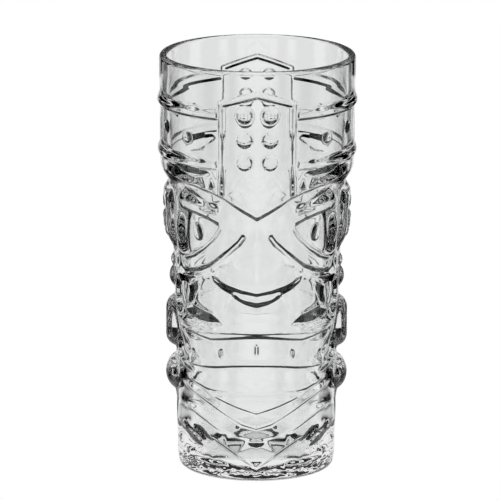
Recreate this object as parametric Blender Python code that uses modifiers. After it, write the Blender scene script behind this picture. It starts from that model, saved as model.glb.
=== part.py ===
"""Tiki tumbler: one pressed-glass drinking glass with a carved-style face on its front and on its back.

Run with: blender --background --python part.py

The glass is a single casting, so it is one object. Its blank is turned, the relief is laid on the blank
as a mould-maker would cut it, in front elevation (x across, z up) and drawn along Y, and the cavity is
taken out last. Units are metres, +Z is up, the face looks along -Y, and the origin is the centre of the
foot's resting ring.
"""

import math

import bmesh
import bpy
from mathutils import Matrix, Vector

MM = 0.001

# Driving dimensions
HEIGHT = 160.0 * MM
HEAD_RADIUS = 37.0 * MM
FOOT_RADIUS = 30.0 * MM
FOOT_INSET = 0.3 * MM
RIM_RADIUS = HEAD_RADIUS + 0.2 * MM
REST_RADIUS = 24.5 * MM
WALL = 3.0 * MM
FLOOR_THICKNESS = 6.0 * MM

# Down the blank's side below the head's rings, as (radius, height)
HEAD_TO_NECK = [(36.8, 118.0), (36.1, 115.8), (34.6, 113.6), (32.5, 111.7), (32.0, 109.5), (31.8, 86.0)]
CHIN_TO_FOOT = [(31.2, 64.0), (30.6, 45.0), (30.0, 24.0), (30.0, 8.0)]
FOOT_CORNER_RADIUS = 5.2 * MM
PUNT = [(20.5, 0.0), (17.5, 1.4), (0.0, 1.8)]
# Down the inside from the rim's lip, as (radius, height)
INSIDE = [(33.8, 124.0), (32.6, 118.0), (29.8, 111.0), (28.6, 105.0), (27.6, 60.0), (26.6, 22.0)]
FLOOR_CORNER_MIDDLE = 22.2 * MM
FLOOR_CORNER_RADIUS = 4.0 * MM

RING_HEIGHTS = (124.0 * MM, 143.0 * MM)
RING_HALF_HEIGHT = 1.6 * MM
RING_PROUD = 0.7 * MM

CREST_RADIUS = HEAD_RADIUS + 1.1 * MM
VISOR_RADIUS = HEAD_RADIUS + 0.3 * MM
STUD_RADIUS = 2.9 * MM
BAND_STUD_RADIUS = 1.9 * MM
STUD_PROUD = 1.4 * MM
BAND_STUD_PROUD = 0.8 * MM
PLATE_PROUD = 1.1 * MM
EYE_DEPTH = 1.5 * MM
TOOTH_GAP_DEPTH = 1.0 * MM

TURNED_STEPS = 40
TUBE_SIDES_RESOLUTION = 1
WELD = 0.01 * MM
FINISH_WELD = 0.06 * MM  # closes the slivers that the joins leave
RIDGE_STEP = 8.0  # mm between a ridge's points, so that it follows the round wall
BEHIND = 60.0 * MM  # a prism this long each way passes through the whole glass

SIDES = (1, -1)


# ---------------------------------------------------------------- collections and materials


def new_collection(name):
    collection = bpy.data.collections.new(name)
    bpy.context.scene.collection.children.link(collection)
    return collection


def glass_material():
    material = bpy.data.materials.new("clear_glass")
    material.use_nodes = True
    shader = material.node_tree.nodes["Principled BSDF"]
    shader.inputs["Base Color"].default_value = (0.95, 0.96, 0.96, 1.0)
    shader.inputs["Roughness"].default_value = 0.02
    shader.inputs["Metallic"].default_value = 0.0
    shader.inputs["Transmission Weight"].default_value = 1.0
    shader.inputs["IOR"].default_value = 1.5
    return material


def as_helper(obj):
    """Marks an object as a tool of the modelling and not a part."""
    obj.hide_render = True
    obj.display_type = "WIRE"
    return obj


def link(obj, collection):
    for old in list(obj.users_collection):
        old.objects.unlink(obj)
    collection.objects.link(obj)
    return obj


def boolean(obj, operation, operand):
    """Adds an EXACT Boolean with an object, or with every object of a collection."""
    modifier = obj.modifiers.new(operation.lower(), "BOOLEAN")
    modifier.operation = operation
    modifier.solver = "EXACT"
    if isinstance(operand, bpy.types.Collection):
        modifier.operand_type = "COLLECTION"
        modifier.collection = operand
    else:
        modifier.object = operand
    return modifier


# ---------------------------------------------------------------- shapes that the relief is made from


def arc(centre, radius, start, end, steps):
    """Points (radius, height) on an arc, from one angle to another in degrees."""
    points = []
    for i in range(steps + 1):
        angle = math.radians(start + (end - start) * i / steps)
        points.append((centre[0] + radius * math.cos(angle), centre[1] + radius * math.sin(angle)))
    return points


def turned(name, profile, collection):
    """A solid of revolution. The profile runs down its outer side, top to bottom, and ends on the axis."""
    mesh = bpy.data.meshes.new(name)
    vertices = [(r, 0.0, z) for r, z in profile]
    mesh.from_pydata(vertices, [(i, i + 1) for i in range(len(vertices) - 1)], [])
    obj = bpy.data.objects.new(name, mesh)
    collection.objects.link(obj)
    screw = obj.modifiers.new("turn", "SCREW")
    screw.axis = "Z"
    screw.angle = math.tau
    screw.steps = TURNED_STEPS
    screw.render_steps = TURNED_STEPS
    screw.use_merge_vertices = True
    screw.merge_threshold = WELD
    obj.rotation_euler.z = math.pi / TURNED_STEPS
    return obj


def settled(obj, collection, weld=WELD):
    """Replaces a curve, or an object with modifiers, by its finished mesh with welded seams and caps."""
    bpy.context.view_layer.update()
    graph = bpy.context.evaluated_depsgraph_get()
    mesh = bpy.data.meshes.new_from_object(obj.evaluated_get(graph))
    mesh.transform(obj.matrix_world)
    shape = bmesh.new()
    shape.from_mesh(mesh)
    bmesh.ops.remove_doubles(shape, verts=shape.verts, dist=weld)
    bmesh.ops.dissolve_degenerate(shape, edges=shape.edges, dist=weld)
    bmesh.ops.triangulate(shape, faces=shape.faces)
    bmesh.ops.recalc_face_normals(shape, faces=shape.faces)
    shape.to_mesh(mesh)
    shape.free()
    name = obj.name
    bpy.data.objects.remove(obj)
    made = bpy.data.objects.new(name, mesh)
    collection.objects.link(made)
    return made


def prism(name, outlines, collection):
    """Outlines in front elevation, in millimetres, drawn along Y through the whole glass."""
    data = bpy.data.curves.new(name, "CURVE")
    data.dimensions = "2D"
    data.fill_mode = "BOTH"
    data.extrude = BEHIND
    for outline in outlines:
        spline = data.splines.new("POLY")
        spline.points.add(len(outline) - 1)
        for point, (x, z) in zip(spline.points, outline):
            point.co = (x * MM, z * MM, 0.0, 1.0)
        spline.use_cyclic_u = True
    obj = bpy.data.objects.new(name, data)
    obj.rotation_euler = (math.radians(90.0), 0.0, 0.0)
    collection.objects.link(obj)
    return as_helper(settled(obj, collection))


def mirrored(half):
    """A closed outline from its right half, which runs from the centre line round to the centre line."""
    left = [(-x, z) for x, z in reversed(half) if x > 0.0]
    return list(half) + left


def on_surface(x, z, inset):
    """The point of the front wall at (x, z), this far under the blank's surface, in metres."""
    radius = wall_radius(z) - inset
    return Vector((x, -math.sqrt(max(radius * radius - x * x, 0.0)), z))


def subdivided(points, longest):
    """A polyline with points added so that no step is longer than this."""
    result = [points[0]]
    for start, end in zip(points, points[1:]):
        count = max(1, math.ceil(math.dist(start, end) / longest))
        for i in range(1, count + 1):
            share = i / count
            x = start[0] + (end[0] - start[0]) * share
            z = start[1] + (end[1] - start[1]) * share
            result.append((x, z))
    return result


def ridge(name, points, collection, closed=False):
    """A round bar sunk into the front wall along points (x, z) in millimetres, and its twin at the back."""
    radius, proud = BAR_SIZES[name]
    path = subdivided(points, RIDGE_STEP)
    data = bpy.data.curves.new(name, "CURVE")
    data.dimensions = "3D"
    data.bevel_depth = radius * MM
    data.bevel_resolution = TUBE_SIDES_RESOLUTION
    data.use_fill_caps = not closed
    spline = data.splines.new("POLY")
    spline.points.add(len(path) - 1)
    for point, (x, z) in zip(spline.points, path):
        place = on_surface(x * MM, z * MM, (radius - proud) * MM)
        point.co = (*place, 1.0)
    spline.use_cyclic_u = closed
    obj = bpy.data.objects.new(name, data)
    collection.objects.link(obj)
    front = as_helper(settled(obj, collection))
    back = bpy.data.objects.new(front.name + "_back", front.data)
    back.matrix_world = Matrix.Rotation(math.pi, 4, "Z")
    collection.objects.link(as_helper(back))


def both_ways(points):
    """A polyline from its right half, which starts on the centre line."""
    return [(-x, z) for x, z in reversed(points) if x > 0.0] + list(points)


def button(name, place, normal, radius_across, radius_up, proud, collection, segments=10):
    """A shallow dome on a wall: place is the wall's point, normal its outward direction."""
    bpy.ops.mesh.primitive_uv_sphere_add(segments=segments, ring_count=segments // 2, radius=1.0)
    obj = bpy.context.object
    obj.name = name
    turn = Vector(normal).to_track_quat("Z", "Y").to_matrix().to_4x4()
    size = Matrix.Diagonal((radius_across, radius_up, proud, 1.0))
    obj.data.transform(Matrix.Translation(place) @ turn @ size)
    link(as_helper(obj), collection)
    return obj


# ---------------------------------------------------------------- the blank and the cavity


def outer_profile():
    """(radius, height) down the outside of the blank, from the rim's crown to the foot's centre."""
    lip = WALL / 2
    points = arc((RIM_RADIUS - lip, HEIGHT - lip), lip, 90.0, 0.0, 3)
    for height in reversed(RING_HEIGHTS):
        points.append((HEAD_RADIUS, height + RING_HALF_HEIGHT))
        points.append((HEAD_RADIUS + RING_PROUD, height + RING_HALF_HEIGHT * 0.45))
        points.append((HEAD_RADIUS + RING_PROUD, height - RING_HALF_HEIGHT * 0.45))
        points.append((HEAD_RADIUS - 0.1 * MM, height - RING_HALF_HEIGHT))
    points += [(r * MM, z * MM) for r, z in HEAD_TO_NECK + CHIN_TO_FOOT]
    corner = FOOT_CORNER_RADIUS
    points += arc((FOOT_RADIUS - FOOT_INSET - corner, corner), corner, 0.0, -75.0, 4)
    points.append((REST_RADIUS, 0.0))
    points += [(r * MM, z * MM) for r, z in PUNT]
    return points


PROFILE = outer_profile()


def wall_radius(height):
    """The blank's outer radius at a height, read off its profile."""
    for (upper_r, upper_z), (lower_r, lower_z) in zip(PROFILE, PROFILE[1:]):
        if lower_z <= height <= upper_z and upper_z > lower_z:
            share = (height - lower_z) / (upper_z - lower_z)
            return lower_r + (upper_r - lower_r) * share
    return FOOT_RADIUS


def blank(collection):
    rim_centre = (0.0, HEIGHT)
    return turned("tumbler_body", [rim_centre] + PROFILE, collection)


def cavity(collection):
    """The space for the drink: straight in the head, a shoulder at the neck, and a round-cornered floor."""
    above = 5.0 * MM
    mouth = RIM_RADIUS - WALL
    lip = WALL / 2
    points = [(0.0, HEIGHT + above), (mouth + lip, HEIGHT + above), (mouth + lip, HEIGHT)]
    points += [(r, z) for r, z in arc((mouth + lip, HEIGHT - lip), lip, 90.0, 180.0, 3)][1:]
    points += [(r * MM, z * MM) for r, z in INSIDE]
    corner = FLOOR_CORNER_RADIUS
    points += arc((FLOOR_CORNER_MIDDLE, FLOOR_THICKNESS + corner), corner, 0.0, -90.0, 4)
    points.append((0.0, FLOOR_THICKNESS))
    return as_helper(turned("cavity", points, collection))


def level(name, low, high, offset, collection):
    """A turned solid that stands this far outside the blank between two heights."""
    heights = [z for _, z in PROFILE if low < z < high]
    stations = sorted({low, high, *heights}, reverse=True)
    points = [(0.0, high)] + [(wall_radius(z) + offset, z) for z in stations] + [(0.0, low)]
    return as_helper(turned(name, points, collection))


# ---------------------------------------------------------------- the relief, top to bottom
# Outlines and lines are (x, z) in millimetres in front elevation. A half starts or ends on the centre line.

VISOR_EDGE = [(0.0, 104.0), (12.7, 112.0), (21.2, 115.3), (28.3, 117.0), (33.0, 118.0)]
VISOR_TOP = 120.6
CREST_HALF = [(0.0, 105.2), (13.4, 113.6), (13.4, 147.5), (0.0, 151.0)]
CREST_STUD_ROWS = (125.8, 134.6, 143.8)
CREST_STUD_X = 4.9
BAND_STUD_ANGLES = (45.0, 67.5, 112.5, 135.0)
BAND_STUD_HEIGHT = 133.5

BROW = [(0.0, 101.2), (13.2, 106.6)]
UPPER_LID = [(12.8, 100.2), (19.0, 103.8), (26.4, 106.2)]
OUTER_BROW = [(18.2, 108.2), (25.0, 111.2)]
UNDER_LID = [(0.0, 99.0), (6.0, 97.4), (14.0, 92.4), (21.0, 87.2), (26.4, 84.0)]
EYE = [
    (13.2, 98.8), (20.0, 102.2), (26.2, 104.0), (27.9, 102.0),
    (28.2, 95.0), (27.0, 88.2), (24.6, 88.2), (18.6, 92.6),
]
PUPIL = (22.4, 96.4)

MUZZLE_HALF = [
    (0.0, 61.6), (13.5, 63.0), (19.2, 66.4), (22.6, 70.0),
    (23.4, 75.0), (21.5, 79.6), (0.0, 79.6),
]
LIPS_HALF = [
    (0.0, 58.3), (14.0, 58.3), (24.5, 58.8), (27.6, 56.0),
    (27.9, 50.0), (26.8, 46.8), (14.0, 45.8), (0.0, 46.2),
]
TOOTH_GAPS_X = (-22.0, -12.0, 0.0, 12.0, 22.0)
TOOTH_GAP_HALF_WIDTH = 0.6
TEETH = (49.4, 54.6)

CHIN_HALF = [(0.0, 35.4), (14.6, 35.4), (20.6, 39.0), (22.4, 43.0), (0.0, 43.6)]
GOATEE_HALF = [(0.0, 27.6), (14.2, 33.0), (14.2, 34.7), (0.0, 34.7)]
BEARD_INNER = [(0.0, 21.6), (10.5, 27.6), (23.5, 37.0)]
BEARD_MIDDLE = [(0.0, 12.2), (10.0, 18.6), (16.0, 23.6), (26.6, 30.0)]
BEARD_OUTER = [(0.0, 7.6), (12.0, 14.2), (19.0, 20.4), (26.4, 24.9)]
COLLAR = [(26.6, 19.8), (24.2, 16.6), (21.4, 10.0)]

# Each round bar's radius, and how far it stands proud of the wall
BAR_SIZES = {
    "brow": (3.4, 1.6),
    "under_lid": (3.2, 1.5),
    "upper_lid": (1.5, 0.9),
    "outer_brow": (2.2, 1.0),
    "collar": (1.6, 0.7),
    "lips": (2.2, 1.3),
    "beard_inner": (1.6, 0.9),
    "beard_middle": (2.6, 1.0),
    "beard_outer": (1.4, 0.8),
}

# The nose's cage: half width at the bridge and its growth, the height of the bridge and the drop to the tip
NOSE_BRIDGE_HALF_WIDTH, NOSE_SPREAD, NOSE_SPREAD_POWER = 4.0, 14.5, 1.4
NOSE_TOP, NOSE_DROP, NOSTRIL_LIFT = 98.0, 24.5, 4.0
NOSE_SWELL, NOSE_SIDE_FALL, NOSE_ROOT = 6.2, 6.0, 24.0

# Domes at each side: name, the centre's radius and height, half depth, half height and how far it swells
EAR_DOMES = (
    ("ear", 28.6, 98.5, 13.0, 12.8, 7.2),
    ("ear_knob", 29.8, 74.0, 3.6, 5.0, 3.3),
    ("ear_bead", 27.6, 36.4, 7.2, 8.6, 6.4),
)
PLUG_HEIGHT = 56.2
PLUG_HALF_DEPTH, PLUG_HALF_HEIGHT = 9.2, 10.2
PLUG_INNER, PLUG_OUTER = 26.0 * MM, 34.6 * MM
PLUG_EDGE = 1.6 * MM
PUPIL_SIZE = (2.9, 3.7, 1.7)


def cut_to(shell, outlines, tools):
    """Keeps what lies inside the outlines of a turned shell, as a plate that follows the wall."""
    cutter = prism(shell.name + "_outline", outlines, tools)
    boolean(shell, "INTERSECT", cutter)
    return as_helper(settled(shell, tools))


def kept_off(outline_name, outlines, core, tools):
    """A cutter with these outlines that stops at the core, so that it only takes a shallow recess."""
    cutter = prism(outline_name, outlines, tools)
    boolean(cutter, "DIFFERENCE", core)
    return as_helper(settled(cutter, tools))


def visor(tools):
    """The head band's lower edge, which dips to a point between the brows."""
    top, low = 122.0 * MM, 100.0 * MM
    profile = [(0.0, top), (VISOR_RADIUS, top), (VISOR_RADIUS, 108.0 * MM)]
    profile += [(VISOR_RADIUS - 0.8 * MM, low), (0.0, low)]
    outline = mirrored(VISOR_EDGE + [(VISOR_EDGE[-1][0], VISOR_TOP), (0.0, VISOR_TOP)])
    return cut_to(turned("visor", profile, tools), [outline], tools)


def crest(tools):
    """The house-shaped plate on the forehead, drawn on both faces of the glass."""
    top, low = 153.0 * MM, 102.0 * MM
    profile = [(0.0, top), (CREST_RADIUS, top), (CREST_RADIUS - 0.6 * MM, low), (0.0, low)]
    return cut_to(turned("crest", profile, tools), [mirrored(CREST_HALF)], tools)


def studs(raised):
    """The domes on each crest, and those on the band at each side of the head."""
    for side in SIDES:
        for height in CREST_STUD_ROWS:
            for x in (-CREST_STUD_X * MM, CREST_STUD_X * MM):
                place = Vector((x, -side * math.sqrt(CREST_RADIUS**2 - x**2), height * MM))
                normal = (place.x, place.y, 0.0)
                button("crest_stud", place, normal, STUD_RADIUS, STUD_RADIUS, STUD_PROUD, raised)
        for degrees in BAND_STUD_ANGLES:
            turn = math.radians(degrees) * side
            normal = Vector((math.sin(turn), -math.cos(turn), 0.0))
            place = normal * (HEAD_RADIUS - 0.1 * MM) + Vector((0.0, 0.0, BAND_STUD_HEIGHT * MM))
            button("band_stud", place, normal, BAND_STUD_RADIUS, BAND_STUD_RADIUS, BAND_STUD_PROUD, raised)


def ridges(raised):
    """The brows, lids, lips and strands of the beard, as round bars sunk into the wall."""
    ridge("brow", both_ways(BROW), raised)
    ridge("under_lid", both_ways(UNDER_LID), raised)
    for side in SIDES:
        ridge("upper_lid", [(side * x, z) for x, z in UPPER_LID], raised)
        ridge("outer_brow", [(side * x, z) for x, z in OUTER_BROW], raised)
        ridge("collar", [(side * x, z) for x, z in COLLAR], raised)
    ridge("lips", mirrored(LIPS_HALF), raised, closed=True)
    ridge("beard_inner", both_ways(BEARD_INNER), raised)
    ridge("beard_middle", both_ways(BEARD_MIDDLE), raised)
    ridge("beard_outer", both_ways(BEARD_OUTER), raised)


def plates(tools):
    """The muzzle, the chin and the goatee, raised from the wall with flat tops."""
    outlines = [mirrored(half) for half in (MUZZLE_HALF, CHIN_HALF, GOATEE_HALF)]
    return cut_to(level("plates", 25.0 * MM, 82.0 * MM, PLATE_PROUD, tools), outlines, tools)


def nose_surface(across, depth, down):
    """Where a point of the nose's cage goes: across and depth run from -1 to 1, down from 0 to 1."""
    half_width = NOSE_BRIDGE_HALF_WIDTH + NOSE_SPREAD * down**NOSE_SPREAD_POWER
    height = NOSE_TOP - NOSE_DROP * down + NOSTRIL_LIFT * abs(across) * down
    swell = 1.0 + NOSE_SWELL * down - abs(across) * (1.0 + NOSE_SIDE_FALL * down)
    outward = wall_radius((88.0 - 12.0 * down) * MM) / MM + swell
    middle = (outward + NOSE_ROOT) / 2.0
    reach = (outward - NOSE_ROOT) / 2.0
    return Vector((across * half_width, depth * reach - middle, height)) * MM


def nose(raised):
    """A wide wedge that swells from the bridge to the nostrils, on the front and on the back."""
    for half_turn in (0.0, math.pi):
        bpy.ops.mesh.primitive_cube_add(size=2.0)
        obj = bpy.context.object
        obj.name = "nose"
        shape = bmesh.new()
        shape.from_mesh(obj.data)
        bmesh.ops.subdivide_edges(shape, edges=shape.edges, cuts=1, use_grid_fill=True)
        for vertex in shape.verts:
            across, depth, up = vertex.co
            vertex.co = nose_surface(across, depth, (1.0 - up) / 2.0)
        bmesh.ops.transform(shape, matrix=Matrix.Rotation(half_turn, 4, "Z"), verts=shape.verts)
        bmesh.ops.recalc_face_normals(shape, faces=shape.faces)
        shape.to_mesh(obj.data)
        shape.free()
        smooth = obj.modifiers.new("round", "SUBSURF")
        smooth.levels = 2
        smooth.render_levels = 2
        link(as_helper(obj), raised)


def eye_sockets(tools):
    """The two eye recesses of each face."""
    left = [(-x, z) for x, z in reversed(EYE)]
    core = level("eye_core", 80.0 * MM, 108.0 * MM, -EYE_DEPTH, tools)
    return kept_off("eye_sockets", [EYE, left], core, tools)


def pupils(collection):
    for side in SIDES:
        for x in (-PUPIL[0], PUPIL[0]):
            place = on_surface(x * MM, PUPIL[1] * MM, EYE_DEPTH + 0.2 * MM)
            place.y *= side
            across, up, proud = (size * MM for size in PUPIL_SIZE)
            button("pupil", place, (place.x, place.y, 0.0), across, up, proud, collection)


def tooth_gaps(tools):
    """Narrow upright notches between the teeth."""
    low, high = TEETH
    outlines = []
    for x in TOOTH_GAPS_X:
        left, right = x - TOOTH_GAP_HALF_WIDTH, x + TOOTH_GAP_HALF_WIDTH
        outlines.append([(left, low), (right, low), (right, high), (left, high)])
    core = level("tooth_core", 46.0 * MM, 58.0 * MM, -TOOTH_GAP_DEPTH, tools)
    return kept_off("tooth_gaps", outlines, core, tools)


def ear_plug(side, raised):
    """A flat disc in the ear lobe, with its axis across the glass."""
    bpy.ops.mesh.primitive_cylinder_add(vertices=24, radius=1.0, depth=1.0)
    plug = bpy.context.object
    plug.name = "ear_plug"
    size = Matrix.Diagonal((PLUG_HALF_DEPTH * MM, PLUG_HALF_HEIGHT * MM, PLUG_OUTER - PLUG_INNER, 1.0))
    turn = Vector((side, 0.0, 0.0)).to_track_quat("Z", "Y").to_matrix().to_4x4()
    middle = Matrix.Translation((side * (PLUG_INNER + PLUG_OUTER) / 2.0, 0.0, PLUG_HEIGHT * MM))
    plug.data.transform(middle @ turn @ size)
    bevel = plug.modifiers.new("edge", "BEVEL")
    bevel.width = PLUG_EDGE
    bevel.segments = 2
    bevel.limit_method = "ANGLE"
    link(as_helper(plug), raised)


def ears(raised):
    """At each side, over the mould's parting line: the ear, a small knob, a disc plug and a bead."""
    for side in SIDES:
        for name, radius, height, across, up, proud in EAR_DOMES:
            place = Vector((side * radius, 0.0, height)) * MM
            button(name, place, (side, 0.0, 0.0), across * MM, up * MM, proud * MM, raised, 16)
        ear_plug(side, raised)


def main():
    for obj in list(bpy.data.objects):
        bpy.data.objects.remove(obj)
    parts = new_collection("tiki_tumbler")
    tools = new_collection("cutters")
    raised = new_collection("raised_relief")
    eyes = new_collection("pupils")

    glass = blank(parts)
    ridges(raised)
    studs(raised)
    nose(raised)
    ears(raised)
    pupils(eyes)

    boolean(glass, "UNION", visor(tools))
    boolean(glass, "UNION", crest(tools))
    boolean(glass, "UNION", plates(tools))
    boolean(glass, "UNION", raised)
    boolean(glass, "DIFFERENCE", eye_sockets(tools))
    boolean(glass, "UNION", eyes)
    boolean(glass, "DIFFERENCE", tooth_gaps(tools))
    boolean(glass, "DIFFERENCE", cavity(tools))
    glass = settled(glass, parts, FINISH_WELD)
    glass.name = "pressed_glass_tumbler"
    glass.data.materials.append(glass_material())
    glass.data.shade_smooth()
    glass.data.set_sharp_from_angle(angle=math.radians(35.0))


main()
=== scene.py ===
"""Looks of the pressed-glass tiki tumbler: one fine glass mesh, its material, the lights and the camera.

The glass is made as a pressing is. A quarter of the mould is drawn as feature lines, each point of which
has an angle round the glass from the face's centre line, a height and a radius. Flat facets are stretched
between the lines, softened as molten glass softens them, and mirrored to the other three quarters. Rounded
things, such as studs, ears and rings, are laid on top by formula, and a few smooth leaning panels are cut
in. The inside is turned, as a plunger leaves it.
"""
import math

import bpy
import numpy as np
from mathutils import Matrix, Vector
from mathutils.geometry import delaunay_2d_cdt


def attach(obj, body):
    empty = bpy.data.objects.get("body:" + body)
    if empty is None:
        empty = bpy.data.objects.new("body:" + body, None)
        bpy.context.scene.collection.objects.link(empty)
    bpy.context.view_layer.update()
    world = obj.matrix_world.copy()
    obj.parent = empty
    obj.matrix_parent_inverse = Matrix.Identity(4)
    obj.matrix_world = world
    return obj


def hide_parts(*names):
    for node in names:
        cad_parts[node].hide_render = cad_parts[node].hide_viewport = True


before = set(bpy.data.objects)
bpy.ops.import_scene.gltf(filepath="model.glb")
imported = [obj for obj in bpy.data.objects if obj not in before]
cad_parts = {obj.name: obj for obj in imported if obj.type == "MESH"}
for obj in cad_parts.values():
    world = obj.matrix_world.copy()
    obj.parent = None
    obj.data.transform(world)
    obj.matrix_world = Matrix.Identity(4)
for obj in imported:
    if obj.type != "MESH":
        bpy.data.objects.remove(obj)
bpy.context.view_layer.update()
GLASS_NODE = "pressed_glass_tumbler"

MM = 0.001
HEIGHT = 160.0
TURN_MM = 0.56  # millimetres along the wall for each degree of turn

# The grid that the glass is sampled on, for one quarter
COLUMNS = 144
ROW_STEP = 0.36


# ---------------------------------------------------------------- small maths


def smooth(low, high, value):
    """0 below low, 1 above high, and an S curve between; low may be above high."""
    t = np.clip((value - low) / (high - low), 0.0, 1.0)
    return t * t * (3.0 - 2.0 * t)


def soft_max(a, b, blend):
    """The larger of two heights, with a fillet this wide where they meet."""
    near = np.clip(0.5 + 0.5 * (a - b) / blend, 0.0, 1.0)
    return b + (a - b) * near + blend * near * (1.0 - near)


# ---------------------------------------------------------------- the mould's feature lines
# Each point is (degrees from the face's centre line, height, radius), and heights are in millimetres.

BAND_EDGE = 122.4
VISOR_RECESS = [
    (29, 119.9, 36.6), (31, 121.0, 36.8), (44, 121.7, 36.85), (55, 121.8, 36.8), (57, 121.0, 36.5),
    (56.3, 119.6, 35.6), (52, 117.4, 33.9), (45, 117.0, 33.7), (37, 118.0, 34.6), (29, 119.9, 36.3),
]
VISOR_EDGE = [
    (0, 104.6, 37.6), (10, 108.2, 37.4), (20, 112.0, 37.2), (30, 114.2, 37.1), (40, 115.6, 37.0),
    (50, 116.3, 36.8), (60, 116.8, 36.7), (75, 117.0, 36.6), (90, 117.0, 36.5),
]
HEAD = [
    [(0, BAND_EDGE, 36.9), (28, BAND_EDGE, 36.9), (56, BAND_EDGE, 36.85), (90, BAND_EDGE, 36.8)],
    VISOR_RECESS,
    VISOR_EDGE,
    [(0, 103.3, 36.1), (10, 106.9, 35.9), (20, 110.7, 35.6), (30, 112.9, 35.4), (40, 114.3, 35.2),
     (50, 115.0, 35.1), (57, 115.3, 35.0), (66, 114.6, 34.6), (75, 114.0, 34.8), (90, 113.8, 35.0)],
    [(57, 113.8, 33.6), (61, 112.6, 33.0), (66, 111.4, 32.6), (75, 110.8, 32.6), (90, 110.6, 32.8)],
]
BROWS = [
    [(44.5, 113.3, 35.0), (40, 111.6, 34.7), (37.5, 108.5, 32.5), (44.5, 109.2, 32.3), (52, 110.2, 32.3),
     (48, 112.8, 34.6), (44.5, 113.3, 35.0)],
    [(51, 113.2, 34.6), (56, 110.8, 34.0), (63, 108.6, 33.6)],
    [(25.5, 107.6, 34.3), (28.5, 108.8, 34.6), (33.3, 108.4, 34.3), (31.8, 106.6, 33.2),
     (31.2, 105.4, 32.7), (29, 105.6, 32.6), (26.8, 106.4, 33.0), (25.5, 107.6, 34.3)],
    [(23.0, 107.2, 34.8), (25.2, 105.8, 34.2), (25.8, 104.4, 34.0)],
    [(0, 100.6, 35.7), (8, 102.6, 35.6), (16, 104.6, 35.2), (21.5, 105.8, 34.8)],
    [(33.8, 107.0, 34.2), (40, 107.4, 34.2), (50, 108.0, 34.1), (58, 107.8, 33.9), (66, 106.9, 33.6)],
    [(20.5, 100.2, 34.3), (23.4, 102.4, 34.2), (30, 104.6, 34.0), (40, 105.9, 34.0), (52, 106.4, 33.9),
     (61, 106.2, 33.7)],
]
EYES = [
    [(25.0, 100.9, 33.7), (30, 102.1, 33.6), (36, 103.1, 33.5), (42, 103.8, 33.5), (50, 104.2, 33.4),
     (56, 104.4, 33.4), (60.5, 101, 33.6), (62, 96, 33.8), (61, 91, 33.6), (58, 86.6, 33.3),
     (53, 85.9, 33.2), (45, 87.5, 33.3), (36, 91.0, 33.5), (29, 94.9, 33.7), (24.6, 98.6, 33.8),
     (25.0, 100.9, 33.7)],
    [(26.8, 99.3, 31.9), (31, 100.4, 31.6), (36, 101.3, 31.4), (42, 102.0, 31.2), (50, 102.4, 30.9),
     (54.5, 99, 30.7), (55.6, 95, 30.6), (55, 90, 30.6), (52.5, 87.9, 30.7), (45, 89.4, 31.1),
     (36, 92.8, 31.4), (30, 96.3, 31.7), (26.8, 99.3, 31.9)],
    [(66, 104, 33.2), (67, 95, 33.4), (65.5, 87.5, 33.0)],
    [(70.5, 104.0, 32.2), (71.5, 95.0, 32.0), (70, 86.0, 31.8)],
    [(57, 84.9, 33.2), (61, 85.3, 33.2), (66, 84.9, 33.0), (63.5, 83.0, 31.9), (59, 82.9, 32.0),
     (57, 84.9, 33.2)],
]
LIDS = [
    [(9.5, 97.6, 34.7), (12.5, 94.9, 34.4), (20, 90.8, 34.0), (27, 87.2, 33.8), (33, 84.4, 33.5),
     (42, 82.4, 33.3), (50, 81.3, 33.1), (57, 80.9, 32.9)],
    [(8.4, 96.6, 33.5), (12.1, 93.7, 33.2), (19, 89.9, 32.8), (26, 86.4, 32.6), (32.2, 83.5, 32.4),
     (41, 81.0, 31.9), (50, 79.9, 31.6), (57, 79.5, 31.5)],
    [(6.6, 96.2, 34.8), (10.8, 92.6, 34.5), (17.5, 89.0, 34.1), (24.5, 85.5, 33.8), (30.8, 82.8, 33.5)],
    [(38, 80.4, 33.0), (45.5, 78.9, 32.9), (51, 78.7, 32.9), (60, 78.0, 32.7)],
    [(45.8, 77.9, 31.9), (52, 77.3, 31.7), (60, 76.6, 31.6)],
]
NOSE = [
    [(0, 97, 35.7), (0, 92, 36.1), (0, 86, 36.6), (0, 80, 37.0), (0, 75.4, 37.3)],
    [(5, 92.4, 35.6), (10, 89.2, 35.3), (17, 86.4, 34.7)],
    [(17, 86.4, 34.7), (24, 84.9, 33.9), (29, 82.4, 33.2)],
    [(20, 81.6, 35.4), (26, 81.0, 34.6)],
    [(0, 75.4, 37.3), (8.5, 76.4, 36.8), (17.6, 77.8, 35.7), (22.5, 78.9, 35.1), (27.9, 80.5, 34.1),
     (31.5, 80.9, 33.3)],
    [(0, 74.8, 36.7), (8.5, 75.8, 36.2), (17.6, 77.2, 35.2), (22.5, 78.4, 34.7), (27.9, 80.0, 33.7)],
    [(0, 71.4, 36.0), (7, 72.0, 35.6), (11.6, 72.9, 35.0), (14.6, 74.2, 34.9), (15.6, 75.6, 35.0),
     (22.7, 77.4, 34.6), (28.8, 78.9, 33.6)],
    [(0, 69.8, 34.5), (7.2, 71.0, 34.5), (11.8, 72.5, 34.6), (15.4, 73.2, 34.0), (16.4, 73.9, 33.4),
     (23.6, 75.8, 33.2), (29.2, 78.3, 33.2)],
]
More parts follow.
